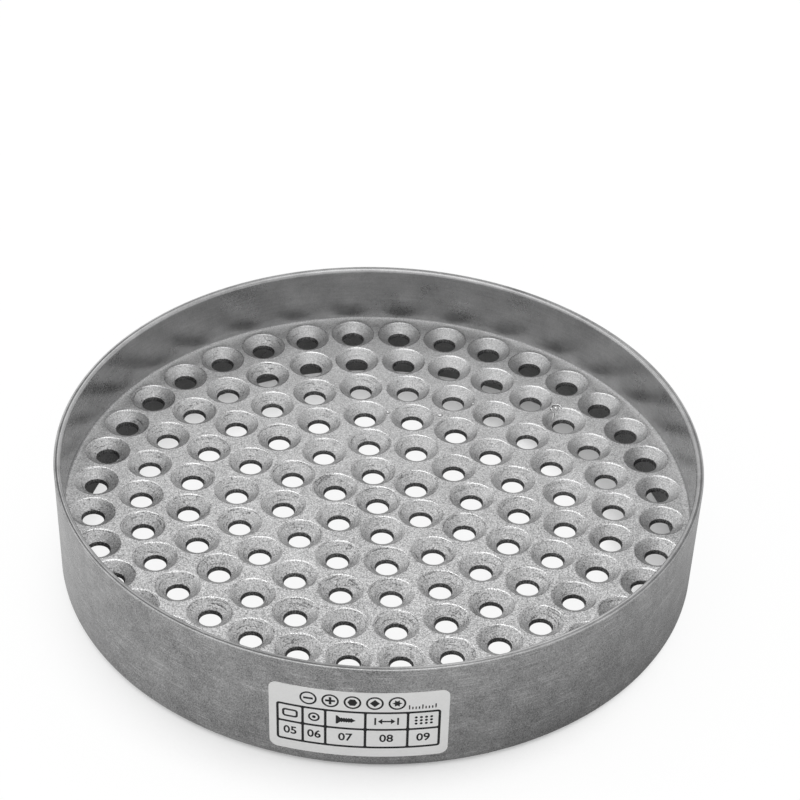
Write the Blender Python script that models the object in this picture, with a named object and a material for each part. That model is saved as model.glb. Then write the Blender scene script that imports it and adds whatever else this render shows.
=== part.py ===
"""Screw sorting tray: a round cast tub, a plate of countersunk holes and a stick-on size label.

Units are metres and +Z is up. The origin is the centre of the base, on the surface the tray stands on.
The front of the tray, with the label, faces -Y.
"""

import math

import bmesh
import bpy

MM = 0.001

# Driving dimensions of the tub
RIM_DIAMETER = 122.0 * MM
TRAY_HEIGHT = 24.0 * MM
DRAFT = math.radians(2.0)
RIM_WALL = 1.4 * MM
SKIRT_WALL = 2.5 * MM
FOOT_ROUND = 1.5 * MM
DISH_DEPTH = 11.7 * MM

# Driving dimensions of the sorting plate
PLATE_THICKNESS = 2.3 * MM
BORE_DIAMETER = 4.0 * MM
BORE_FLARE = 0.5 * MM
LAND_HEIGHT = 0.75 * MM
MOUTH_DIAMETER = 8.2 * MM
HOLE_WEB = 0.8 * MM
EDGE_WEB = 0.3 * MM
PATTERN_TURN = math.radians(37.0)

# Driving dimensions of the label
LABEL_WIDTH = 32.0 * MM
LABEL_HEIGHT = 15.6 * MM
LABEL_CORNER = 1.5 * MM
LABEL_THICKNESS = 0.15 * MM
LABEL_FOOT = 3.0 * MM
LABEL_AZIMUTH = math.radians(-91.6)

# Clearances between pieces that seat on each other
SEAT_GAP = 0.3 * MM
LABEL_GAP = 0.2 * MM

# Facets of round shapes
TUB_SEGMENTS = 72
HOLE_SEGMENTS = 10
RIM_STEPS = 6
FOOT_STEPS = 4
CORNER_STEPS = 4
LABEL_COLUMNS = 12
HOLES_IN_FIRST_RING = 6
CUT_MARGIN = 1.0 * MM
SMOOTH_ANGLE = math.radians(40.0)

# Sizes worked out from the driving dimensions
RIM_RADIUS = RIM_DIAMETER / 2
RIM_ROUND = RIM_WALL / 2
PLATE_TOP = TRAY_HEIGHT - DISH_DEPTH
PLATE_UNDERSIDE = PLATE_TOP - PLATE_THICKNESS
SHOULDER_HEIGHT = PLATE_UNDERSIDE - SEAT_GAP
RING_PITCH = MOUTH_DIAMETER + HOLE_WEB

ALUMINIUM = ("cast_aluminium", (0.56, 0.56, 0.57, 1.0), 0.45, 1.0)
PAPER = ("label_paper", (0.78, 0.78, 0.77, 1.0), 0.7, 0.0)


def clear_scene():
    for obj in list(bpy.data.objects):
        bpy.data.objects.remove(obj, do_unlink=True)


def outer_radius(z):
    """Radius of the drafted outer wall, which is widest where the rim's rounding starts."""
    return RIM_RADIUS - (TRAY_HEIGHT - RIM_ROUND - z) * math.tan(DRAFT)


def dish_radius(z):
    """Radius of the inner wall above the plate."""
    return outer_radius(z) - RIM_WALL


def skirt_radius(z):
    """Radius of the inner wall below the plate, which opens towards the base."""
    return outer_radius(0.0) - SKIRT_WALL - z * math.tan(DRAFT)


def plate_radius():
    """Radius of the plate, clear of the wall that it sits inside."""
    return dish_radius(PLATE_UNDERSIDE) - SEAT_GAP


def arc(centre_r, centre_z, radius, start_deg, end_deg, steps):
    """Points of a profile's rounding, from the start angle to the end angle."""
    points = []
    for step in range(steps + 1):
        angle = math.radians(start_deg + (end_deg - start_deg) * step / steps)
        points.append((centre_r + radius * math.cos(angle), centre_z + radius * math.sin(angle)))
    return points


def make_material(spec):
    name, colour, roughness, metallic = spec
    material = bpy.data.materials.get(name)
    if material is None:
        material = bpy.data.materials.new(name)
        material.use_nodes = True
        shader = material.node_tree.nodes["Principled BSDF"]
        shader.inputs["Base Color"].default_value = colour
        shader.inputs["Roughness"].default_value = roughness
        shader.inputs["Metallic"].default_value = metallic
    return material


def make_object(name, mesh_builder, material_spec=None):
    """An object whose mesh comes from a bmesh, with its faces pointing out."""
    bmesh.ops.recalc_face_normals(mesh_builder, faces=mesh_builder.faces)
    mesh = bpy.data.meshes.new(name)
    mesh_builder.to_mesh(mesh)
    mesh_builder.free()
    mesh.shade_smooth()
    mesh.set_sharp_from_angle(angle=SMOOTH_ANGLE)
    if material_spec is not None:
        mesh.materials.append(make_material(material_spec))
    obj = bpy.data.objects.new(name, mesh)
    bpy.context.scene.collection.objects.link(obj)
    return obj


def add_rings(builder, profile, segments, centre=(0.0, 0.0)):
    """Rings of points turned about a vertical line, one ring for each point of the profile."""
    rings = []
    for radius, z in profile:
        ring = []
        for segment in range(segments):
            angle = 2 * math.pi * segment / segments
            x = centre[0] + radius * math.cos(angle)
            y = centre[1] + radius * math.sin(angle)
            ring.append(builder.verts.new((x, y, z)))
        rings.append(ring)
    return rings


def bridge(builder, ring_a, ring_b):
    """A band of faces between two closed rings of points."""
    count = len(ring_a)
    for index in range(count):
        after = (index + 1) % count
        builder.faces.new((ring_a[index], ring_a[after], ring_b[after], ring_b[index]))


def add_turned_solid(builder, profile, segments, centre=(0.0, 0.0)):
    """A turned body that is closed by a flat face at each end of its profile."""
    rings = add_rings(builder, profile, segments, centre)
    for ring_a, ring_b in zip(rings, rings[1:]):
        bridge(builder, ring_a, ring_b)
    builder.faces.new(rings[0])
    builder.faces.new(rings[-1])


def wall_profile():
    """Section of the tub's wall: the foot, the outer wall, the round rim, the dish and the shoulder."""
    foot_z = FOOT_ROUND
    foot_centre = outer_radius(foot_z) - FOOT_ROUND
    rim_z = TRAY_HEIGHT - RIM_ROUND
    rim_centre = outer_radius(rim_z) - RIM_ROUND
    profile = [(skirt_radius(0.0), 0.0)]
    profile += arc(foot_centre, foot_z, FOOT_ROUND, -90.0, 0.0, FOOT_STEPS)
    profile += arc(rim_centre, rim_z, RIM_ROUND, 0.0, 180.0, RIM_STEPS)
    profile.append((dish_radius(SHOULDER_HEIGHT), SHOULDER_HEIGHT))
    profile.append((skirt_radius(SHOULDER_HEIGHT), SHOULDER_HEIGHT))
    return profile


def make_rim_wall():
    builder = bmesh.new()
    rings = add_rings(builder, wall_profile(), TUB_SEGMENTS)
    for index, ring in enumerate(rings):
        bridge(builder, ring, rings[(index + 1) % len(rings)])
    return make_object("rim_wall", builder, ALUMINIUM)


def hole_centres():
    """Rings of holes about a middle hole, as many rings as the plate has room for."""
    room = plate_radius() - EDGE_WEB - MOUTH_DIAMETER / 2
    centres = [(0.0, 0.0)]
    for ring in range(1, int(room / RING_PITCH) + 1):
        count = HOLES_IN_FIRST_RING * ring
        for index in range(count):
            angle = PATTERN_TURN + 2 * math.pi * index / count
            centres.append((ring * RING_PITCH * math.cos(angle), ring * RING_PITCH * math.sin(angle)))
    return centres


def hole_profile():
    """Section of one hole: a slightly flared land and a countersink that opens at the plate's top."""
    land_top = PLATE_UNDERSIDE + LAND_HEIGHT
    return [
        (BORE_DIAMETER / 2, PLATE_UNDERSIDE - CUT_MARGIN),
        (BORE_DIAMETER / 2, PLATE_UNDERSIDE),
        ((BORE_DIAMETER + BORE_FLARE) / 2, land_top),
        (MOUTH_DIAMETER / 2, PLATE_TOP),
        (MOUTH_DIAMETER / 2, PLATE_TOP + CUT_MARGIN),
    ]


def make_hole_cutters():
    builder = bmesh.new()
    for centre in hole_centres():
        add_turned_solid(builder, hole_profile(), HOLE_SEGMENTS, centre)
    cutters = make_object("hole_cutters", builder)
    cutters.hide_render = True
    cutters.display_type = "WIRE"
    return cutters


def make_sorting_plate():
    builder = bmesh.new()
    disc = [(plate_radius(), PLATE_UNDERSIDE), (plate_radius(), PLATE_TOP)]
    add_turned_solid(builder, disc, TUB_SEGMENTS)
    plate = make_object("sorting_plate", builder, ALUMINIUM)
    holes = plate.modifiers.new("screw_holes", "BOOLEAN")
    holes.operation = "DIFFERENCE"
    holes.solver = "EXACT"
    holes.object = make_hole_cutters()
    return plate


def label_stations():
    """Places across the label's width, each with how far its rounded corners draw in its height."""
    half = LABEL_WIDTH / 2
    left = []
    for step in range(CORNER_STEPS):
        angle = math.pi / 2 * step / CORNER_STEPS
        left.append((-half + LABEL_CORNER * (1 - math.cos(angle)), LABEL_CORNER * (1 - math.sin(angle))))
    straight = LABEL_WIDTH - 2 * LABEL_CORNER
    middle = [(-straight / 2 + straight * step / LABEL_COLUMNS, 0.0) for step in range(LABEL_COLUMNS + 1)]
    right = [(-across, drawn_in) for across, drawn_in in reversed(left)]
    return left + middle + right


def label_point(across, z, offset):
    """A point on the wall's front, moved out from the wall by an offset."""
    radius = outer_radius(z) + offset
    angle = LABEL_AZIMUTH + across / outer_radius(LABEL_FOOT + LABEL_HEIGHT / 2)
    return (radius * math.cos(angle), radius * math.sin(angle), z)


def make_size_label():
    builder = bmesh.new()
    back, front = LABEL_GAP, LABEL_GAP + LABEL_THICKNESS
    sections = []
    for across, drawn_in in label_stations():
        low = LABEL_FOOT + drawn_in
        high = LABEL_FOOT + LABEL_HEIGHT - drawn_in
        corners = [(low, back), (high, back), (high, front), (low, front)]
        sections.append([builder.verts.new(label_point(across, z, offset)) for z, offset in corners])
    for section_a, section_b in zip(sections, sections[1:]):
        bridge(builder, section_a, section_b)
    builder.faces.new(sections[0])
    builder.faces.new(sections[-1])
    return make_object("size_label", builder, PAPER)


def main():
    clear_scene()
    make_rim_wall()
    make_sorting_plate()
    make_size_label()


main()
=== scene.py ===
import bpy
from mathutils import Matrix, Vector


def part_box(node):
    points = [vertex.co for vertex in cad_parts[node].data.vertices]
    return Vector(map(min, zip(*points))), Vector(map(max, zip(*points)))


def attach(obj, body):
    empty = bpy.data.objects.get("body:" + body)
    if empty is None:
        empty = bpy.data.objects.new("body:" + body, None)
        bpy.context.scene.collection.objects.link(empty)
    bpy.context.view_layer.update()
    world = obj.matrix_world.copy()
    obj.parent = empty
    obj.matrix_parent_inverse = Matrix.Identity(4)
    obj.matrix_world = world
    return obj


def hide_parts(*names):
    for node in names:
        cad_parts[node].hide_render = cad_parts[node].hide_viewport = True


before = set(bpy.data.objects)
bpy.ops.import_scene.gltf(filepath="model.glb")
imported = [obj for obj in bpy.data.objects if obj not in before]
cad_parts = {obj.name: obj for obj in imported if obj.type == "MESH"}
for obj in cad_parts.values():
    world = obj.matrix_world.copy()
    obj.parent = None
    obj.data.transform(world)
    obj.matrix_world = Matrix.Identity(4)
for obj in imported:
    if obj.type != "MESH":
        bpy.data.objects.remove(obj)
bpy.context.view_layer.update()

import math

import bmesh
import bpy
from mathutils import Matrix, Vector
from mathutils.geometry import delaunay_2d_cdt

MM = 0.001

# Sizes that the frame gives
PLATE_LOW, PLATE_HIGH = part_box("sorting_plate")
WALL_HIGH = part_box("rim_wall")[1]
LABEL_LOW, LABEL_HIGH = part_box("size_label")
RIM_RADIUS = WALL_HIGH.x
TRAY_HEIGHT = WALL_HIGH.z
PLATE_TOP = PLATE_HIGH.z
PLATE_UNDERSIDE = PLATE_LOW.z
LABEL_FOOT = LABEL_LOW.z
LABEL_HEIGHT = LABEL_HIGH.z - LABEL_LOW.z

# Section of the casting
DRAFT = math.radians(2.0)
DISH_DRAFT = math.radians(1.0)
RIM_WALL = 1.4 * MM
RIM_INNER_ROUND = 0.6 * MM
RIM_OUTER_ROUND = 0.2 * MM
GROOVE_FROM_EDGE = 0.5 * MM
GROOVE_WIDTH = 0.3 * MM
GROOVE_DEPTH = 0.12 * MM
GROOVE_ROUND = 0.04 * MM
SKIRT_WALL = 2.5 * MM
FOOT_ROUND = 1.8 * MM
FOOT_EDGE = 0.25 * MM
DISH_FILLET = 0.4 * MM
SKIRT_FILLET = 0.7 * MM
ROUND_STEPS = 6
TUB_SEGMENTS = 288
FLAT_LEDGE = 0.015 * MM
FILL_INSIDE = 1
FILL_TOLERANCE = 1e-7

# Rounded corners of the tub's section, in order, how its finish changes at them, and the painted shade in
# its groove and along the fillet at the plate's edge
TUB_CORNERS = (
    "dish",
    "rim_inner",
    "groove_inner",
    "groove",
    "groove_outer",
    "rim_outer",
    "foot",
    "foot_edge",
    "skirt",
)
WALL_FADE = 3
GROOVE_SHADE = 0.7
FILLET_SHADE = 0.5

# Screw holes
RING_PITCH = 9.0 * MM
RING_COUNT = 6
HOLES_IN_FIRST_RING = 6
PATTERN_TURN = math.radians(37.0)
MOUTH_RADIUS = 4.22 * MM
MOUTH_ROUND = 0.75 * MM
LAND_TOP_RADIUS = 2.25 * MM
LAND_HEIGHT = 0.83 * MM
LAND_ROUND = 0.06 * MM
BORE_RADIUS = 2.0 * MM
BORE_ROUND = 0.08 * MM
HOLE_SEGMENTS = 36
HOLE_STEPS = 4

# Label, with its print laid flat: across from the label's middle and up from its lower edge
LABEL_WIDTH = 32.0 * MM
LABEL_CORNER = 1.5 * MM
LABEL_AZIMUTH = math.radians(-91.6)
LABEL_TILT = math.radians(0.5)
PAPER_THICKNESS = 0.1 * MM
GLUE_GAP = 0.02 * MM
INK_THICKNESS = 0.012 * MM
INK_SINK = 0.004 * MM
BEND_STEP = 0.8 * MM
WELD = 0.003 * MM
SHEET_SHARP = math.radians(35.0)
BOX_CORNER_STEPS = 6
CIRCLE_SEGMENTS = 28
LINE_WIDTH = 0.45 * MM
TABLE_COLUMNS = [place * MM for place in (-14.4, -9.84, -5.79, 1.24, 8.7, 14.3)]
TABLE_ROWS = [place * MM for place in (2.3, 6.7, 10.8)]
TABLE_CORNER = 0.6 * MM
FIRST_NUMBER = 5
NUMBER_SIZE = 2.5 * MM
NUMBER_WEIGHT = 0.05 * MM
NUMBER_CURVE_STEPS = 4
ICON_COUNT = 5
ICON_RADIUS = 1.55 * MM
ICON_RING = 0.78
ICON_MARK = 0.56
ICON_STAR = 0.55
ICON_PITCH = 3.9 * MM
ICON_START = -8.85 * MM
ICON_HEIGHT = 13.15 * MM
RULER_START = 8.9 * MM
RULER_FOOT = 11.6 * MM
RULER_STEP = 0.58 * MM
RULER_TICKS = 9
RULER_LONG_EVERY = 4
RULER_LONG = 1.0 * MM
RULER_SHORT = 0.6 * MM
RULER_LINE = 0.5 * LINE_WIDTH

# Symbols of the table, whose outlines are in shares of their size
SYMBOL_SIZE = 0.95 * MM
TRAY_RIM = {"half_width": 1.5, "half_height": 1.0, "radius": 0.6}
TRAY_DISH = {"half_width": 1.1, "half_height": 0.6, "radius": 0.3}
HOLE_OUTER, HOLE_INNER, HOLE_DOT = 1.1, 0.75, 0.35
SCREW_SCALE = 1.1
SCREW_HEAD = [(-1.6, 0.95), (-1.35, 0.95), (-0.8, 0.4)]
SCREW_TIP = (1.75, 0.0)
THREADS = 5
THREAD_START = -0.6
THREAD_PITCH = 0.4
THREAD_CREST = 0.55
THREAD_ROOT = 0.35
ARROW_HEAD = [(1.6, 0.0), (0.8, 0.7), (0.8, 0.18)]
STOP_PLACE = 2.1
STOP_HALF = 0.9
STOP_LINE = 0.7 * LINE_WIDTH
DOT_COLUMNS, DOT_LINES = 4, 3
DOT_PITCH, DOT_LINE_PITCH = 0.95, 0.8
DOT_RADIUS = 0.28
DOT_SEGMENTS = 14

# Flaws of the casting on the plate: a curl with a dome in it, a blister and two pimples
CURL_PLACE = (34.5 * MM, 31.1 * MM)
CURL_RADIUS = 1.05 * MM
CURL_SWEEP = 250.0
CURL_STEPS = 40
CURL_TAIL = [(-0.5, -1.7), (-0.62, -2.3), (-0.45, -2.8)]
RIDGE_WIDTH = 0.5 * MM
RIDGE_HEIGHT = 0.3 * MM
RIDGE_END = 0.25
RIDGE_SEGMENTS = 10
BUMP_SEGMENTS = 20
BUMP_STEPS = 6
MARK_SHARP = math.radians(60.0)
# Masks that the flaws' crests get, for a painted highlight on them
MARK_CREST = {"edge": 2.0, "painted_light_strip": 1.0}

# The domes among them, each as across, depth, radius and height in millimetres
BUMPS = [
    (34.5, 31.15, 0.5, 0.2),
    (11.5, 27.4, 0.55, 0.24),
    (18.0, 31.5, 0.3, 0.18),
    (1.2, 27.6, 0.42, 0.28),
]

# Noises of the casting's finish as size, detail and roughness
METAL_NOISES = {
    "fine": (0.26 * MM, 2.0, 0.65),
    "middle": (0.8 * MM, 2.0, 0.5),
    "speck": (0.45 * MM, 1.0, 0.5),
    "cloud": (3.5 * MM, 2.0, 0.5),
    "mottle": (11.0 * MM, 3.0, 0.5),
}

# Noises drawn out in level streaks as length, height, detail and roughness
LEVEL_NOISES = {
    "streak": (6.0 * MM, 0.5 * MM, 3.0, 0.6),
    "scratch": (8.0 * MM, 0.22 * MM, 2.0, 0.5),
}

# Rings that tools left, with pitches and radii in millimetres
TOOL_PITCH = 0.24
RIM_PITCH = 0.2
RING_SEED_STEP = 3.7
RING_RANGE = (0.055, 0.16)
NEAR_MOUTH_RANGE = (3.7, 4.1)
NEAR_MOUTH_SHARE = (0.0, 0.08)

# Wear of the casting, as ranges of a place or a noise and the shares they turn into
WORN_RANGE = (45.0 * MM, -20.0 * MM)
WORN_GRAIN = (0.6, 1.1)
SCORED_ALONG = (0.7, 0.7, 0.0)
SCORED_RANGE = (45.0 * MM, -5.0 * MM)
SCORED_SHARE = (0.2, 0.82)
PATCH_RANGE = (-0.14, 0.05)
SPECK_RANGE = (0.12, 0.19)
SCRATCH_RANGE = (0.04, 0.14)
SCRATCHED_RANGE = (-0.04, 0.1)

# Shares of noises, masks and marks in the casting's grain, tone, roughness and relief
PLATE_SHARES = {"wall": -1.0, "cone": -0.08}
PLATE_GRAIN = {"fine": 2.0, "middle": 0.35}
WALL_GRAIN = {"fine": 0.4, "streak": 0.25, "middle": 0.12, "cloud": 0.25}
OUTER_GRAIN = {"fine": 0.9, "middle": 0.12}
METAL_TONE = 0.505
TONE_SHARES = {
    "plate_grain": 1.0,
    "wall_grain": 1.0,
    "outer_grain": 1.0,
    "mottle": 0.3,
    "pits": -0.42,
    "lines": -0.4,
    "turned": 1.0,
    "cone": 0.02,
    # Painted shade in the holes' bores, the rim's groove, the fillet and along the flaws' feet
    "land": -0.4,
    # Painted shade: the mouths' rounded edges a little darker
    "edge": -0.06,
    "wall": -0.05,
    "outer": -0.04,
    "rim": -0.07,
    "scratches": 0.22,
    # Painted light on the band of plate beside the wall and on the flaws' crests, more towards the back
    "painted_light_strip": 0.2,
    "painted_light_strip_back": 0.3,
}
METAL_ROUGHNESS = 0.5
ROUGHNESS_SHARES = {
    "middle": 0.1,
    "mottle": 0.2,
    "wall": -0.28,
    "fresh_wall": 0.09,
    "outer": 0.05,
    "rim": 0.14,
    "edge": -0.25,
    "painted_light_strip": 0.25,
}
HEIGHT_SHARES = {"fine": 0.6, "middle": 0.4, "pits": -0.5, "lines": -0.5, "turned": 1.0}
BUMP_STRENGTH = 1.0
BUMP_SHARES = {"wall": -0.9, "outer": 0.3}
GRAIN_HEIGHT = 0.035 * MM
DARK_METAL = (0.12, 0.12, 0.121, 1.0)
LIGHT_METAL = (0.72, 0.72, 0.722, 1.0)

# Finish of the label's paper and ink, with noises as size, detail and roughness
PAPER = {
    "fine": (0.4 * MM, 3.0, 0.6),
    "cloud": (5.5 * MM, 2.0, 0.5),
    "tone": 0.5,
    "tone_shares": {"fine": 1.2, "cloud": 1.2},
    "greys": [(0.86, 0.86, 0.855, 1.0), (0.94, 0.94, 0.935, 1.0)],
    "relief": 0.004 * MM,
    "roughened_by": "cloud",
    "roughness": (0.5, 0.62),
    "specular": 0.5,
}
INK = {
    "fine": (0.18 * MM, 2.0, 0.6),
    "cloud": (2.5 * MM, 2.0, 0.5),
    "tone": 0.4,
    "tone_shares": {"fine": 1.6, "cloud": 1.0},
    "greys": [(0.008, 0.008, 0.009, 1.0), (0.035, 0.035, 0.037, 1.0)],
    "relief": 0.002 * MM,
    "roughened_by": "fine",
    "roughness": (0.5, 0.7),
    "specular": 0.25,
}
NOISE_SPREAD = 0.2

# Studio
WHITE = (1.0, 1.0, 1.0, 1.0)
FLOOR_RADIUS = 4.0
FLOOR_SEGMENTS = 96
SHADE_SAMPLES = 8
FLOOR_COLOUR = (0.33, 0.33, 0.33, 1.0)
FLOOR_SEEN = (0.85, 0.85, 0.85, 1.0)
FLOOR_GLOW = 0.93
MIRROR_GLOW = 0.58
COVERED_GLOW = 0.03
SHADOW_FROM = Vector((-0.65, 0.55, 0.52)).normalized()
SHADOW_REACH = 80.0 * MM
FOOT_GLOW = 0.05
FOOT_SHADOW_FROM = Vector((0.5, 0.8, 0.3)).normalized()
FOOT_SHADOW_REACH = 15.0 * MM
FOOT_SHADOW_OPEN = 0.7
SOFTBOXES = {
    "overhead": {"place": (-0.11, 0.24, 1.15), "size": (0.6, 1.0), "power": 3.9},
    "left": {"place": (-0.8, 0.25, 0.5), "size": (0.5, 0.5), "power": 0.7},
}

# Camera, from the fit of the hole pattern to the photograph
CAMERA_PLACE = Vector((3.5, -461.6, 387.2)) * MM
CAMERA_AIM = Vector((3.5, 34.3, 10.4)) * MM
CAMERA_ROLL = math.radians(2.15)
CAMERA_LENS = 140.5
SENSOR_WIDTH = 36.0


def rounded(corners, steps):
    """Points of a section line whose inner corners, given as (radius, height, rounding), become arcs."""
    points = [Vector(corners[0][:2])]
    for before, corner, after in zip(corners, corners[1:], corners[2:]):
        place = Vector(corner[:2])
        back = (Vector(before[:2]) - place).normalized()
        ahead = (Vector(after[:2]) - place).normalized()
        half = back.angle(ahead) / 2
        reach = corner[2] / math.tan(half)
        centre = place + (back + ahead).normalized() * corner[2] / math.sin(half)
        start = (place + back * reach - centre).normalized()
        end = (place + ahead * reach - centre).normalized()
        points += [centre + start.slerp(end, step / steps) * corner[2] for step in range(steps + 1)]
    points.append(Vector(corners[-1][:2]))
    return points


def past_corner(index, corner, steps):
    """How far point number index of a rounded section is through the arc of a corner, from 0 to 1."""
    first = 1 + (corner - 1) * (steps + 1)
    return min(max((index - first) / steps, 0.0), 1.0)


def bulge(share):
    """A hump that is 1 half-way through an arc and 0 at its ends."""
    return 4.0 * share * (1.0 - share)


def outer_radius(z):
    """Radius of the drafted outer wall at a height."""
    return RIM_RADIUS - (TRAY_HEIGHT - RIM_WALL / 2 - z) * math.tan(DRAFT)


def dish_radius(z):
    """Radius of the inner wall above the plate."""
    return outer_radius(TRAY_HEIGHT) - RIM_WALL - (TRAY_HEIGHT - z) * math.tan(DISH_DRAFT)


def skirt_radius(z):
    """Radius of the inner wall below the plate, which opens towards the base."""
    return outer_radius(0.0) - SKIRT_WALL - z * math.tan(DRAFT)


def triangles_between(outer, holes):
    """Triangles between an outer loop of flat points and convex holes, as numbers into all the points."""
    points, owners, edges = [], [], []
    for owner, loop in enumerate([outer] + holes):
        start = len(points)
        edges += [(start + i, start + (i + 1) % len(loop)) for i in range(len(loop))]
        points += [Vector(point[:2]) / MM for point in loop]
        owners += [owner] * len(loop)
    result = delaunay_2d_cdt(points, edges, [], FILL_INSIDE, FILL_TOLERANCE)
    triangles = []
    for triangle in result[2]:
        corners = [result[3][corner][0] for corner in triangle]
        touched = {owners[corner] for corner in corners}
        if touched == {0} or len(touched) > 1:
            triangles.append(corners)
    return triangles


def new_object(name, data):
    """An object in the scene with a mesh, a curve, a lamp or a camera."""
    obj = bpy.data.objects.new(name, data)
    bpy.context.scene.collection.objects.link(obj)
    return obj


def face_out(builder):
    """Turns the faces of each closed body of a bmesh outwards."""
    bmesh.ops.recalc_face_normals(builder, faces=builder.faces)
    waiting = set(builder.faces)
    while waiting:
        body = [waiting.pop()]
        for face in body:
            near = {other for edge in face.edges for other in edge.link_faces} & waiting
            waiting -= near
            body += near
        volume = sum(face.calc_center_median().dot(face.normal) * face.calc_area() for face in body)
        if volume < 0.0:
            bmesh.ops.reverse_faces(builder, faces=body)


def object_from(name, builder, sharp_angle):
    """An object whose mesh comes from a bmesh, smooth up to an angle."""
    face_out(builder)
    mesh = bpy.data.meshes.new(name)
    builder.to_mesh(mesh)
    builder.free()
    mesh.shade_smooth()
    mesh.set_sharp_from_angle(angle=sharp_angle)
    return new_object(name, mesh)


class Shell:
    """Points, faces and masks of the casting's mesh, for its finish and for painted light and shade,
    gathered ring by ring.
    """

    MASKS = ("cone", "land", "wall", "outer", "rim", "edge", "painted_light_strip")

    def __init__(self):
        self.points = []
        self.faces = []
        self.masks = {name: [] for name in self.MASKS}
        self.hole_places = []

    def ring(self, centre, radius, z, segments, number=0.0, **masks):
        """A level ring of points, each with its place in its hole in millimetres and the hole's number."""
        first = len(self.points)
        for segment in range(segments):
            angle = 2 * math.pi * segment / segments
            x = radius * math.cos(angle)
            y = radius * math.sin(angle)
            self.points.append((centre[0] + x, centre[1] + y, z))
            self.hole_places += [x / MM, y / MM, number]
        for name in self.MASKS:
            self.masks[name] += [masks.get(name, 0.0)] * segments
        return list(range(first, first + segments))

    def bridge(self, rings):
        """Bands of faces between neighbouring rings."""
        for ring_a, ring_b in zip(rings, rings[1:]):
            count = len(ring_a)
            for index in range(count):
                after = (index + 1) % count
                self.faces.append((ring_a[index], ring_a[after], ring_b[after], ring_b[index]))

    def fill(self, outer, holes):
        """Flat faces between an outer ring and the rings of the holes in it."""
        members = sum([outer] + holes, [])
        loops = [[self.points[index] for index in ring] for ring in [outer] + holes]
        for triangle in triangles_between(loops[0], loops[1:]):
            self.faces.append([members[corner] for corner in triangle])

    def build(self, name):
        """An object with the gathered mesh, its masks and its places in the holes."""
        mesh = bpy.data.meshes.new(name)
        mesh.from_pydata(self.points, [], self.faces)
        for mask, values in self.masks.items():
            mesh.attributes.new(mask, "FLOAT", "POINT").data.foreach_set("value", values)
        place = mesh.attributes.new("hole_place", "FLOAT_VECTOR", "POINT")
        place.data.foreach_set("vector", self.hole_places)
        builder = bmesh.new()
        builder.from_mesh(mesh)
        bmesh.ops.recalc_face_normals(builder, faces=builder.faces)
        builder.to_mesh(mesh)
        builder.free()
        mesh.shade_smooth()
        shell = new_object(name, mesh)
        shell.modifiers.new("even_shading", "WEIGHTED_NORMAL")
        return shell


def hole_centres():
    """Places of the holes: one in the middle and rings of holes about it."""
    centres = [(0.0, 0.0)]
    for ring in range(1, RING_COUNT + 1):
        count = HOLES_IN_FIRST_RING * ring
        for index in range(count):
            angle = PATTERN_TURN + 2 * math.pi * index / count
            centres.append((ring * RING_PITCH * math.cos(angle), ring * RING_PITCH * math.sin(angle)))
    return centres


def hole_section():
    """Section of one hole from the plate's top to its underside, with soft edges."""
    land_top = PLATE_UNDERSIDE + LAND_HEIGHT
    slope = math.atan2(PLATE_TOP - land_top, MOUTH_RADIUS - LAND_TOP_RADIUS)
    mouth_edge = MOUTH_RADIUS + MOUTH_ROUND * math.tan(slope / 2) + FLAT_LEDGE
    return rounded(
        [
            (mouth_edge, PLATE_TOP, 0.0),
            (MOUTH_RADIUS, PLATE_TOP, MOUTH_ROUND),
            (LAND_TOP_RADIUS, land_top, LAND_ROUND),
            (BORE_RADIUS, PLATE_UNDERSIDE, BORE_ROUND),
            (BORE_RADIUS + 2 * BORE_ROUND, PLATE_UNDERSIDE, 0.0),
        ],
        HOLE_STEPS,
    )


def add_hole(shell, centre, number):
    """One countersunk hole, returning its rings on the plate's top and underside."""
    rings = []
    for index, point in enumerate(hole_section()):
        mouth, land_top, bore = [past_corner(index, corner, HOLE_STEPS) for corner in (1, 2, 3)]
        # Painted shade darkens the short cylinder of each hole below its cone
        masks = {"cone": mouth - land_top, "land": land_top - bore, "edge": bulge(mouth)}
        rings.append(shell.ring(centre, point.x, point.y, HOLE_SEGMENTS, number, **masks))
    shell.bridge(rings)
    return rings[0], rings[-1]


def tub_section():
    """Section of the tub from the plate's top edge over the rim and the foot to the plate's underside."""
    top_start = dish_radius(PLATE_TOP) - DISH_FILLET - FLAT_LEDGE
    under_start = skirt_radius(PLATE_UNDERSIDE) - SKIRT_FILLET - FLAT_LEDGE
    groove = outer_radius(TRAY_HEIGHT) - GROOVE_FROM_EDGE
    return rounded(
        [
            (top_start, PLATE_TOP, 0.0),
            (dish_radius(PLATE_TOP), PLATE_TOP, DISH_FILLET),
            (dish_radius(TRAY_HEIGHT), TRAY_HEIGHT, RIM_INNER_ROUND),
            (groove - GROOVE_WIDTH / 2, TRAY_HEIGHT, GROOVE_ROUND),
            (groove, TRAY_HEIGHT - GROOVE_DEPTH, GROOVE_ROUND),
            (groove + GROOVE_WIDTH / 2, TRAY_HEIGHT, GROOVE_ROUND),
            (outer_radius(TRAY_HEIGHT), TRAY_HEIGHT, RIM_OUTER_ROUND),
            (outer_radius(0.0), 0.0, FOOT_ROUND),
            (skirt_radius(0.0), 0.0, FOOT_EDGE),
            (skirt_radius(PLATE_UNDERSIDE), PLATE_UNDERSIDE, SKIRT_FILLET),
            (under_start, PLATE_UNDERSIDE, 0.0),
        ],
        ROUND_STEPS,
    )


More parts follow.
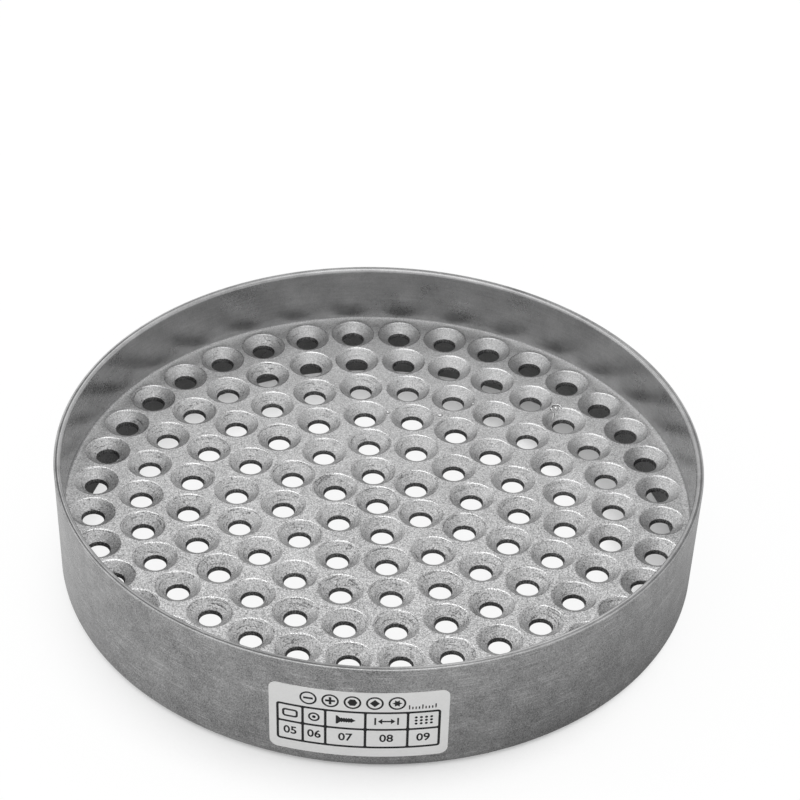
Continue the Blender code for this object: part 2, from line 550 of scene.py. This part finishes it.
def add_tub(shell):
    """The turned wall, returning its rings at the plate's top and underside."""
    rings = []
    for index, point in enumerate(tub_section()):
        numbered = enumerate(TUB_CORNERS, 1)
        past = {name: past_corner(index, number, ROUND_STEPS) for number, name in numbered}
        groove = past["groove_inner"] - past["groove_outer"]
        masks = {
            "wall": past["dish"] ** WALL_FADE - past["skirt"],
            "rim": past["rim_inner"] - past["rim_outer"],
            "outer": past["rim_outer"] - past["foot"],
            # Painted shade in the rim's groove and along the fillet at the plate's edge
            "land": GROOVE_SHADE * groove + FILLET_SHADE * bulge(past["dish"]),
            # Painted light on the band of plate beside the wall, fading over the fillet
            "painted_light_strip": 1.0 - past["dish"],
        }
        rings.append(shell.ring((0.0, 0.0), point.x, point.y, TUB_SEGMENTS, **masks))
    shell.bridge(rings)
    return rings[0], rings[-1]


def make_casting():
    """The whole casting as one closed mesh: tub, plate and countersunk holes."""
    shell = Shell()
    tub_top, tub_under = add_tub(shell)
    tops, unders = [], []
    for number, centre in enumerate(hole_centres()):
        top, under = add_hole(shell, centre, float(number))
        tops.append(top)
        unders.append(under)
    shell.fill(tub_top, tops)
    shell.fill(tub_under, unders)
    return shell.build("tray_casting")


def surface_height(x, y):
    """Height of the plate's top at a place, which drops inside the countersinks."""
    away = min(math.hypot(x - centre[0], y - centre[1]) for centre in hole_centres())
    slope = (PLATE_TOP - PLATE_UNDERSIDE - LAND_HEIGHT) / (MOUTH_RADIUS - LAND_TOP_RADIUS)
    return PLATE_TOP - max(MOUTH_RADIUS - away, 0.0) * slope


def close_rings(builder, rings):
    """Joins rings of points into a closed body."""
    for ring_a, ring_b in zip(rings, rings[1:]):
        count = len(ring_a)
        for index in range(count):
            after = (index + 1) % count
            builder.faces.new((ring_a[index], ring_a[after], ring_b[after], ring_b[index]))
    builder.faces.new(rings[0])
    builder.faces.new(rings[-1])


def add_mark_point(builder, x, y, lift, height):
    """A point of a flaw on the plate, with a painted highlight at the flaw's crest and painted shade along
    its foot.
    """
    rise = math.sin(lift)
    vert = builder.verts.new((x, y, surface_height(x, y) + height * rise))
    layers = builder.verts.layers.float
    for mask, share in MARK_CREST.items():
        vert[layers[mask]] = share * max(rise, 0.0)
    # Painted shade along the flaw's foot
    vert[layers["land"]] = 1.0 - abs(rise)
    return vert


def add_ridge(builder, path):
    """A low round ridge along a path on the plate, half sunk in it and thinner at its ends."""
    rings = []
    for index, place in enumerate(path):
        ahead = path[min(index + 1, len(path) - 1)] - path[max(index - 1, 0)]
        side = ahead.normalized().orthogonal()
        along = math.pi * index / (len(path) - 1)
        taper = RIDGE_END + (1.0 - RIDGE_END) * math.sqrt(math.sin(along))
        ring = []
        for segment in range(RIDGE_SEGMENTS):
            angle = 2 * math.pi * segment / RIDGE_SEGMENTS
            point = place + side * RIDGE_WIDTH / 2 * taper * math.cos(angle)
            ring.append(add_mark_point(builder, point.x, point.y, angle, RIDGE_HEIGHT * taper))
        rings.append(ring)
    close_rings(builder, rings)


def add_bump(builder, centre, radius, height):
    """A low dome on the plate, half sunk in it."""
    rings = []
    for step in range(1, 2 * BUMP_STEPS):
        lift = math.radians(-90 + 90 * step / BUMP_STEPS)
        ring = []
        for segment in range(BUMP_SEGMENTS):
            angle = 2 * math.pi * segment / BUMP_SEGMENTS
            x = centre[0] + radius * math.cos(lift) * math.cos(angle)
            y = centre[1] + radius * math.cos(lift) * math.sin(angle)
            ring.append(add_mark_point(builder, x, y, lift, height))
        rings.append(ring)
    close_rings(builder, rings)


def make_casting_marks():
    """Small flaws that stand proud of the plate."""
    builder = bmesh.new()
    for mask in ("land", *MARK_CREST):
        builder.verts.layers.float.new(mask)
    middle = Vector(CURL_PLACE)
    curl = arc(middle, CURL_RADIUS, 0.0, CURL_SWEEP, CURL_STEPS)
    curl += [middle + Vector(step) * MM for step in CURL_TAIL]
    add_ridge(builder, curl)
    for x, y, radius, height in BUMPS:
        add_bump(builder, (x * MM, y * MM), radius * MM, height * MM)
    return object_from("casting_marks", builder, MARK_SHARP)


def wrap(across, up, out):
    """A point of the flat label layout, laid on the tub's outer wall and moved out from it."""
    middle = LABEL_HEIGHT / 2
    turned = Matrix.Rotation(LABEL_TILT, 2) @ Vector((across, up - middle))
    z = LABEL_FOOT + middle + turned.y
    radius = outer_radius(z) + out
    angle = LABEL_AZIMUTH + turned.x / outer_radius(LABEL_FOOT + middle)
    return Vector((radius * math.cos(angle), radius * math.sin(angle), z))


def arc(centre, radius, start_deg, sweep_deg, steps):
    """Points of an arc in the flat layout."""
    points = []
    for step in range(steps + 1):
        angle = math.radians(start_deg + sweep_deg * step / steps)
        x = centre[0] + radius * math.cos(angle)
        y = centre[1] + radius * math.sin(angle)
        points.append(Vector((x, y)))
    return points


def rounded_box(left, low, right, high, radius, steps=BOX_CORNER_STEPS):
    """Outline of a box with round corners in the flat layout."""
    outline = arc((right - radius, high - radius), radius, 0.0, 90.0, steps)
    outline += arc((left + radius, high - radius), radius, 90.0, 90.0, steps)
    outline += arc((left + radius, low + radius), radius, 180.0, 90.0, steps)
    outline += arc((right - radius, low + radius), radius, 270.0, 90.0, steps)
    return outline


def circle(centre, radius, segments=CIRCLE_SEGMENTS):
    """Outline of a circle or a regular polygon in the flat layout."""
    return arc(centre, radius, 0.0, 360.0, segments)[:-1]


def bar(start, end, width):
    """Outline of a straight stroke in the flat layout."""
    start, end = Vector(start), Vector(end)
    side = (end - start).normalized().orthogonal() * width / 2
    return [start - side, end - side, end + side, start + side]


def add_shape(builder, outer, holes=()):
    """A flat shape with convex holes."""
    holes = list(holes)
    verts = [builder.verts.new((point.x, point.y, 0.0)) for point in sum([outer] + holes, [])]
    for triangle in triangles_between(outer, holes):
        builder.faces.new([verts[corner] for corner in triangle])


def bend_and_thicken(builder, inner, outer):
    """Turns flat shapes into closed sheets on the wall, between two distances out from it."""
    bmesh.ops.remove_doubles(builder, verts=builder.verts, dist=WELD)
    bmesh.ops.dissolve_degenerate(builder, dist=WELD, edges=builder.edges)
    columns = int(LABEL_WIDTH / BEND_STEP)
    for column in range(1, columns):
        geometry = builder.verts[:] + builder.edges[:] + builder.faces[:]
        place = (LABEL_WIDTH * (column / columns - 0.5), 0.0, 0.0)
        across = (1.0, 0.0, 0.0)
        bmesh.ops.bisect_plane(builder, geom=geometry, plane_co=place, plane_no=across, dist=WELD)
    grown = bmesh.ops.extrude_face_region(builder, geom=builder.faces[:])
    raised = {item for item in grown["geom"] if isinstance(item, bmesh.types.BMVert)}
    for vert in builder.verts:
        vert.co = wrap(vert.co.x, vert.co.y, outer if vert in raised else inner)


def make_label():
    """The label's paper, bent round the wall."""
    builder = bmesh.new()
    half = LABEL_WIDTH / 2
    add_shape(builder, rounded_box(-half, 0.0, half, LABEL_HEIGHT, LABEL_CORNER))
    bend_and_thicken(builder, GLUE_GAP, GLUE_GAP + PAPER_THICKNESS)
    return object_from("label_sheet", builder, SHEET_SHARP)


def add_table(builder):
    """The ruled table: a round-cornered frame with a window for each cell."""
    half = LINE_WIDTH / 2
    frame_line = rounded_box(
        TABLE_COLUMNS[0] - half,
        TABLE_ROWS[0] - half,
        TABLE_COLUMNS[-1] + half,
        TABLE_ROWS[-1] + half,
        TABLE_CORNER,
    )
    windows = []
    for low, high in zip(TABLE_ROWS, TABLE_ROWS[1:]):
        for left, right in zip(TABLE_COLUMNS, TABLE_COLUMNS[1:]):
            windows.append(rounded_box(left + half, low + half, right - half, high - half, half))
    add_shape(builder, frame_line, windows)


def spokes(centre, count, outer, inner, turn_deg):
    """Outline of a star with a number of points in the flat layout."""
    points = []
    for index in range(2 * count):
        angle = math.radians(turn_deg + 180.0 * index / count)
        reach = inner if index % 2 else outer
        x = centre[0] + reach * math.cos(angle)
        y = centre[1] + reach * math.sin(angle)
        points.append(Vector((x, y)))
    return points


def cross(centre, reach, width):
    """Outline of an upright cross in the flat layout."""
    half = width / 2
    corner = [(reach, -half), (reach, half), (half, half)]
    points = []
    for quarter in range(4):
        turn = Matrix.Rotation(math.pi / 2 * quarter, 2)
        points += [Vector(centre) + turn @ Vector(step) for step in corner]
    return points


def drive_marks(centre, reach):
    """Outlines of screw drives: slot, cross, hexagon, square and star."""
    left, right = [(centre[0] + side * reach, centre[1]) for side in (-1, 1)]
    return [
        bar(left, right, LINE_WIDTH),
        cross(centre, reach, LINE_WIDTH),
        circle(centre, reach, 6),
        circle(centre, reach, 4),
        spokes(centre, 6, reach, ICON_STAR * reach, 0.0),
    ]


def add_drive_icons(builder):
    """A row of round screw heads, each with another drive."""
    for index in range(ICON_COUNT):
        centre = (ICON_START + index * ICON_PITCH, ICON_HEIGHT)
        add_shape(builder, circle(centre, ICON_RADIUS), [circle(centre, ICON_RING * ICON_RADIUS)])
        add_shape(builder, drive_marks(centre, ICON_MARK * ICON_RADIUS)[index])


def add_ruler(builder):
    """A short scale of ticks beside the icons."""
    for tick in range(RULER_TICKS):
        across = RULER_START + tick * RULER_STEP
        height = RULER_SHORT if tick % RULER_LONG_EVERY else RULER_LONG
        add_shape(builder, bar((across, RULER_FOOT), (across, RULER_FOOT + height), RULER_LINE))


def screw_outline(centre, size):
    """Outline of a countersunk screw that lies on its side."""
    upper = list(SCREW_HEAD)
    for thread in range(THREADS):
        crest = THREAD_START + THREAD_PITCH * thread
        upper += [(crest, THREAD_CREST), (crest + THREAD_PITCH / 2, THREAD_ROOT)]
    upper.append(SCREW_TIP)
    lower = [(across, -up) for across, up in reversed(upper[:-1])]
    return [Vector(centre) + Vector(point) * size for point in upper + lower]


def arrow_outline(centre, size):
    """Outline of a level arrow with two heads."""
    upper = ARROW_HEAD + [(-across, up) for across, up in reversed(ARROW_HEAD)]
    lower = [(across, -up) for across, up in reversed(upper[1:-1])]
    return [Vector(centre) + Vector(point) * size for point in upper + lower]


def symbol_box(centre, half_width, half_height, radius):
    """Outline of a round-cornered box about a centre, with measures in shares of the symbols' size."""
    across = half_width * SYMBOL_SIZE
    up = half_height * SYMBOL_SIZE
    left, right = centre[0] - across, centre[0] + across
    return rounded_box(left, centre[1] - up, right, centre[1] + up, radius * SYMBOL_SIZE)


def add_length_symbol(builder, centre):
    """An arrow between two stops."""
    add_shape(builder, arrow_outline(centre, SYMBOL_SIZE))
    low, high = [centre[1] + end * STOP_HALF * SYMBOL_SIZE for end in (-1, 1)]
    for side in (-1, 1):
        across = centre[0] + side * STOP_PLACE * SYMBOL_SIZE
        add_shape(builder, bar((across, low), (across, high), STOP_LINE))


def add_count_symbol(builder, centre):
    """Columns and lines of dots."""
    for column in range(DOT_COLUMNS):
        across = centre[0] + (column - (DOT_COLUMNS - 1) / 2) * DOT_PITCH * SYMBOL_SIZE
        for line in range(DOT_LINES):
            up = centre[1] + (line - (DOT_LINES - 1) / 2) * DOT_LINE_PITCH * SYMBOL_SIZE
            add_shape(builder, circle((across, up), DOT_RADIUS * SYMBOL_SIZE, DOT_SEGMENTS))


def add_symbols(builder):
    """A symbol for each column: tray, hole, screw, length and number of holes."""
    row = (TABLE_ROWS[1] + TABLE_ROWS[2]) / 2
    tray, hole, screw, length, count = [
        ((left + right) / 2, row) for left, right in zip(TABLE_COLUMNS, TABLE_COLUMNS[1:])
    ]
    add_shape(builder, symbol_box(tray, **TRAY_RIM), [symbol_box(tray, **TRAY_DISH)])
    add_shape(builder, circle(hole, HOLE_OUTER * SYMBOL_SIZE), [circle(hole, HOLE_INNER * SYMBOL_SIZE)])
    add_shape(builder, circle(hole, HOLE_DOT * SYMBOL_SIZE))
    add_shape(builder, screw_outline(screw, SCREW_SCALE * SYMBOL_SIZE))
    add_length_symbol(builder, length)
    add_count_symbol(builder, count)


def add_number(builder, text, centre):
    """Plain digits in Blender's own font."""
    curve = bpy.data.curves.new("digits", "FONT")
    curve.body = text
    curve.size = NUMBER_SIZE
    curve.offset = NUMBER_WEIGHT
    curve.align_x = "CENTER"
    curve.align_y = "CENTER"
    curve.resolution_u = NUMBER_CURVE_STEPS
    letters = new_object("digits", curve)
    mesh = bpy.data.meshes.new_from_object(letters)
    mesh.transform(Matrix.Translation((centre[0], centre[1], 0.0)))
    builder.from_mesh(mesh)
    bpy.data.objects.remove(letters)
    bpy.data.curves.remove(curve)
    bpy.data.meshes.remove(mesh)


def make_print():
    """The label's print as thin ink: a table, symbols and plain numbers."""
    builder = bmesh.new()
    add_table(builder)
    add_drive_icons(builder)
    add_ruler(builder)
    add_symbols(builder)
    row = (TABLE_ROWS[0] + TABLE_ROWS[1]) / 2
    for index, (left, right) in enumerate(zip(TABLE_COLUMNS, TABLE_COLUMNS[1:])):
        add_number(builder, f"{FIRST_NUMBER + index:02d}", ((left + right) / 2, row))
    face = GLUE_GAP + PAPER_THICKNESS
    bend_and_thicken(builder, face - INK_SINK, face + INK_THICKNESS)
    return object_from("label_print", builder, SHEET_SHARP)


class Graph:
    """Short calls that add and join the nodes of one material or world."""

    def __init__(self, owner):
        owner.use_nodes = True
        self.tree = owner.node_tree
        self.tree.nodes.clear()

    def node(self, kind, inputs=None, **settings):
        """A node with settings, and inputs that are either values or sockets to join."""
        node = self.tree.nodes.new(kind)
        for name, value in settings.items():
            setattr(node, name, value)
        for name, value in (inputs or {}).items():
            if isinstance(value, bpy.types.NodeSocket):
                self.tree.links.new(value, node.inputs[name])
            else:
                node.inputs[name].default_value = value
        return node

    def place(self):
        """Places on the piece, in metres."""
        return self.node("ShaderNodeTexCoord").outputs["Object"]

    def math(self, operation, first, second=0.0):
        """The result of a math node."""
        return self.node("ShaderNodeMath", {0: first, 1: second}, operation=operation).outputs[0]

    def vector(self, operation, first, second=(0.0, 0.0, 0.0), output="Vector"):
        """The result of a vector math node."""
        inputs = {0: first, 1: second}
        return self.node("ShaderNodeVectorMath", inputs, operation=operation).outputs[output]

    def product(self, first, *others):
        """The product of values."""
        for other in others:
            first = self.math("MULTIPLY", first, other)
        return first

    def total(self, parts, shares, start=0.0):
        """The sum of a start and of shares of named parts."""
        for name, share in shares.items():
            inputs = {0: parts[name], 1: share, 2: start}
            start = self.node("ShaderNodeMath", inputs, operation="MULTIPLY_ADD").outputs[0]
        return start

    def noise(self, vector, size, detail, roughness):
        """Noise about zero whose cells have a size."""
        inputs = {"Vector": vector, "Scale": 1.0 / size, "Detail": detail, "Roughness": roughness}
        factor = self.node("ShaderNodeTexNoise", inputs).outputs["Fac"]
        return self.math("SUBTRACT", factor, 0.5)

    def remap(self, value, low, high, to_low=0.0, to_high=1.0):
        """A value moved from one range to another and held inside it."""
        inputs = {"Value": value, "From Min": low, "From Max": high, "To Min": to_low, "To Max": to_high}
        return self.node("ShaderNodeMapRange", inputs).outputs["Result"]

    def mix(self, factor, first, second):
        """A colour between two colours."""
        node = self.node("ShaderNodeMix", {0: factor}, data_type="RGBA")
        node.inputs[6].default_value = first
        node.inputs[7].default_value = second
        return node.outputs[2]

    def attribute(self, name, output="Fac"):
        """One of the attributes of the piece's mesh."""
        return self.node("ShaderNodeAttribute", attribute_name=name).outputs[output]

    def surface(self, socket, kind="ShaderNodeOutputMaterial"):
        """Joins a shader to the output."""
        self.tree.links.new(socket, self.node(kind).inputs["Surface"])


def ring_noise(graph, level, pitch, seed):
    """Noise about zero in thin rings around the middle of a level vector in millimetres."""
    radius = graph.vector("LENGTH", level, output="Value")
    around = graph.node("ShaderNodeSeparateXYZ", {0: graph.vector("NORMALIZE", level)}).outputs
    rings = {0: graph.math("DIVIDE", radius, pitch), 1: around[0], 2: around[1]}
    vector = graph.node("ShaderNodeCombineXYZ", rings).outputs[0]
    inputs = {"Vector": vector, "W": seed, "Scale": 1.0, "Detail": 1.0}
    texture = graph.node("ShaderNodeTexNoise", inputs, noise_dimensions="4D")
    return graph.math("SUBTRACT", texture.outputs["Fac"], 0.5)


def tool_rings(graph):
    """Broken rings that a tool left in the cones, other ones in each hole."""
    place = graph.attribute("hole_place", "Vector")
    parts = graph.node("ShaderNodeSeparateXYZ", {0: place}).outputs
    level = graph.node("ShaderNodeCombineXYZ", {0: parts[0], 1: parts[1]}).outputs[0]
    rings = ring_noise(graph, level, TOOL_PITCH, graph.product(parts[2], RING_SEED_STEP))
    radius = graph.vector("LENGTH", level, output="Value")
    near_mouth = graph.remap(radius, *NEAR_MOUTH_RANGE, *NEAR_MOUTH_SHARE)
    return graph.remap(graph.math("ADD", rings, near_mouth), *RING_RANGE)


def rim_rings(graph, place):
    """Fine rings that a lathe left on the rim."""
    level = graph.vector("MULTIPLY", place, (1 / MM, 1 / MM, 0.0))
    return ring_noise(graph, level, RIM_PITCH, 0.0)


def metal_noises(graph, place):
    """Noises of the casting's finish by name, some of them drawn out in level streaks."""
    parts = {name: graph.noise(place, *values) for name, values in METAL_NOISES.items()}
    for name, (length, height, detail, roughness) in LEVEL_NOISES.items():
        drawn = graph.vector("MULTIPLY", place, (1.0, 1.0, length / height))
        parts[name] = graph.noise(drawn, length, detail, roughness)
    return parts


def metal_wear_and_painted_light(graph, place, parts):
    """Wear towards the front, the wall where it is still fresh, and painted light on the band beside the
    wall, stronger towards the back.
    """
    depth = graph.node("ShaderNodeSeparateXYZ", {0: place}).outputs["Y"]
    worn = graph.remap(depth, *WORN_RANGE)
    fresh = graph.math("SUBTRACT", 1.0, worn)
    return {
        "worn": worn,
        "fresh_wall": graph.product(parts["wall"], fresh),
        "painted_light_strip_back": graph.product(parts["painted_light_strip"], fresh),
    }


def metal_marks(graph, place, parts):
    """Pits and tool rings in the cones, lathe rings on the rim and scratches on the outer wall."""
    scored = graph.vector("DOT_PRODUCT", place, SCORED_ALONG, "Value")
    scored = graph.remap(scored, *SCORED_RANGE, *SCORED_SHARE)
    marked = graph.product(parts["cone"], graph.remap(parts["cloud"], *PATCH_RANGE), scored)
    scratch = graph.remap(parts["scratch"], *SCRATCH_RANGE)
    scratched = graph.remap(parts["cloud"], *SCRATCHED_RANGE)
    return {
        "pits": graph.product(graph.remap(parts["speck"], *SPECK_RANGE), marked),
        "lines": graph.product(tool_rings(graph), marked),
        "turned": graph.product(rim_rings(graph, place), parts["rim"]),
        "scratches": graph.product(scratch, scratched, parts["outer"]),
    }


def metal_grain(graph, parts):
    """Grain of the plate, which is stronger where it is worn, and of the walls."""
    plate = graph.total(parts, PLATE_SHARES, 1.0)
    worn = graph.remap(parts["worn"], 0.0, 1.0, *WORN_GRAIN)
    return {
        "plate_grain": graph.product(graph.total(parts, PLATE_GRAIN), plate, worn),
        "wall_grain": graph.product(graph.total(parts, WALL_GRAIN), parts["wall"]),
        "outer_grain": graph.product(graph.total(parts, OUTER_GRAIN), parts["outer"]),
    }


def metal_parts(graph, place):
    """All that the casting's finish is made of, with its painted light and shade: masks, noises, wear,
    marks and grain by name.
    """
    parts = {name: graph.attribute(name) for name in Shell.MASKS}
    parts.update(metal_noises(graph, place))
    parts.update(metal_wear_and_painted_light(graph, place, parts))
    parts.update(metal_marks(graph, place, parts))
    parts.update(metal_grain(graph, parts))
    return parts


def metal_material():
    """Blasted die-cast aluminium: grainy plate, smoother walls, tool rings and pits in the cones, with
    painted shade in hollows and painted light beside the wall and on the flaws' crests.
    """
    material = bpy.data.materials.new("cast_aluminium")
    graph = Graph(material)
    parts = metal_parts(graph, graph.place())
    tone = graph.total(parts, TONE_SHARES, METAL_TONE)
    relief = {
        "Strength": graph.total(parts, BUMP_SHARES, BUMP_STRENGTH),
        "Distance": GRAIN_HEIGHT,
        "Height": graph.total(parts, HEIGHT_SHARES),
    }
    inputs = {
        "Base Color": graph.mix(tone, DARK_METAL, LIGHT_METAL),
        "Roughness": graph.total(parts, ROUGHNESS_SHARES, METAL_ROUGHNESS),
        "Metallic": 1.0,
        "Normal": graph.node("ShaderNodeBump", relief).outputs["Normal"],
    }
    graph.surface(graph.node("ShaderNodeBsdfPrincipled", inputs).outputs[0])
    return material


def label_material(name, finish):
    """Paper or ink with a fine grain, cloudy greys and a slight relief."""
    material = bpy.data.materials.new(name)
    graph = Graph(material)
    place = graph.place()
    parts = {part: graph.noise(place, *finish[part]) for part in ("fine", "cloud")}
    tone = graph.total(parts, finish["tone_shares"], finish["tone"])
    roughened = parts[finish["roughened_by"]]
    relief = {"Strength": 1.0, "Distance": finish["relief"], "Height": parts["fine"]}
    inputs = {
        "Base Color": graph.mix(tone, *finish["greys"]),
        "Roughness": graph.remap(roughened, -NOISE_SPREAD, NOISE_SPREAD, *finish["roughness"]),
        "Specular IOR Level": finish["specular"],
        "Normal": graph.node("ShaderNodeBump", relief).outputs["Normal"],
    }
    graph.surface(graph.node("ShaderNodeBsdfPrincipled", inputs).outputs[0])
    return material


def floor_shade(graph, side, reach, open_from):
    """How open a place on the floor is towards a side within a reach, from 0 to 1."""
    normal = graph.node("ShaderNodeCombineXYZ", dict(enumerate(side))).outputs[0]
    inputs = {"Distance": reach, "Normal": normal}
    found = graph.node("ShaderNodeAmbientOcclusion", inputs, samples=SHADE_SAMPLES).outputs["AO"]
    below_floor = (1.0 - side.z) / 2
    return graph.remap(found, below_floor, open_from)


def floor_material():
    """Pale floor that is white to the camera, lights reflections and keeps the tray's shadow."""
    material = bpy.data.materials.new("pale_floor")
    graph = Graph(material)
    rays = graph.node("ShaderNodeLightPath").outputs
    # The glow is dimmed where the floor is hidden towards these sides: a painted shadow of the tray
    wide = floor_shade(graph, SHADOW_FROM, SHADOW_REACH, 1.0)
    near = floor_shade(graph, FOOT_SHADOW_FROM, FOOT_SHADOW_REACH, FOOT_SHADOW_OPEN)
    seen_glow = graph.remap(graph.math("MAXIMUM", near, wide), 0.0, 1.0, FOOT_GLOW, FLOOR_GLOW)
    mirrored_glow = graph.remap(wide, 0.0, 1.0, COVERED_GLOW, MIRROR_GLOW)
    mirrored = graph.math("MAXIMUM", rays["Is Glossy Ray"], rays["Is Transmission Ray"])
    seen = graph.product(rays["Is Camera Ray"], seen_glow)
    share = graph.math("ADD", seen, graph.product(mirrored, mirrored_glow))
    colour = graph.mix(rays["Is Camera Ray"], FLOOR_COLOUR, FLOOR_SEEN)
    plain = graph.node("ShaderNodeBsdfDiffuse", {"Color": colour}).outputs[0]
    glow = graph.node("ShaderNodeEmission", {"Color": WHITE, "Strength": 1.0}).outputs[0]
    graph.surface(graph.node("ShaderNodeMixShader", {0: share, 1: plain, 2: glow}).outputs[0])
    return material


def make_floor():
    """A wide level disc under the tray."""
    builder = bmesh.new()
    bmesh.ops.create_circle(builder, cap_ends=True, radius=FLOOR_RADIUS, segments=FLOOR_SEGMENTS)
    floor = object_from("floor", builder, SHEET_SHARP)
    floor.data.materials.append(floor_material())


def make_camera():
    """The camera at the photograph's viewing angle."""
    camera = new_object("camera", bpy.data.cameras.new("camera"))
    camera.data.sensor_width = SENSOR_WIDTH
    camera.data.lens = CAMERA_LENS
    camera.location = CAMERA_PLACE
    facing = (CAMERA_AIM - CAMERA_PLACE).to_track_quat("-Z", "Y").to_matrix()
    camera.rotation_euler = (facing @ Matrix.Rotation(CAMERA_ROLL, 3, "Z")).to_euler()
    bpy.context.scene.camera = camera


def make_light():
    """A plain white world and soft lamps that face the tray."""
    world = bpy.data.worlds.new("studio")
    bpy.context.scene.world = world
    graph = Graph(world)
    sky = graph.node("ShaderNodeBackground", {"Color": WHITE, "Strength": 1.0})
    graph.surface(sky.outputs[0], "ShaderNodeOutputWorld")
    for name, settings in SOFTBOXES.items():
        softbox = new_object(name, bpy.data.lights.new(name, "AREA"))
        softbox.data.shape = "RECTANGLE"
        softbox.data.size, softbox.data.size_y = settings["size"]
        softbox.data.energy = settings["power"]
        softbox.location = settings["place"]
        softbox.rotation_euler = (-softbox.location).to_track_quat("-Z", "Y").to_euler()


def finish_piece(piece, material):
    """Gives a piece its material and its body."""
    piece.data.materials.append(material)
    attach(piece, "root")


def main():
    """Makes the pieces and the studio."""
    bpy.context.scene.view_settings.view_transform = "Standard"
    metal = metal_material()
    casting = make_casting()
    label = make_label()
    finish_piece(casting, metal)
    finish_piece(make_casting_marks(), metal)
    finish_piece(label, label_material("label_paper", PAPER))
    finish_piece(make_print(), label_material("label_ink", INK))
    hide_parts("rim_wall", "sorting_plate")
    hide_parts("size_label")
    make_floor()
    make_camera()
    make_light()


main()
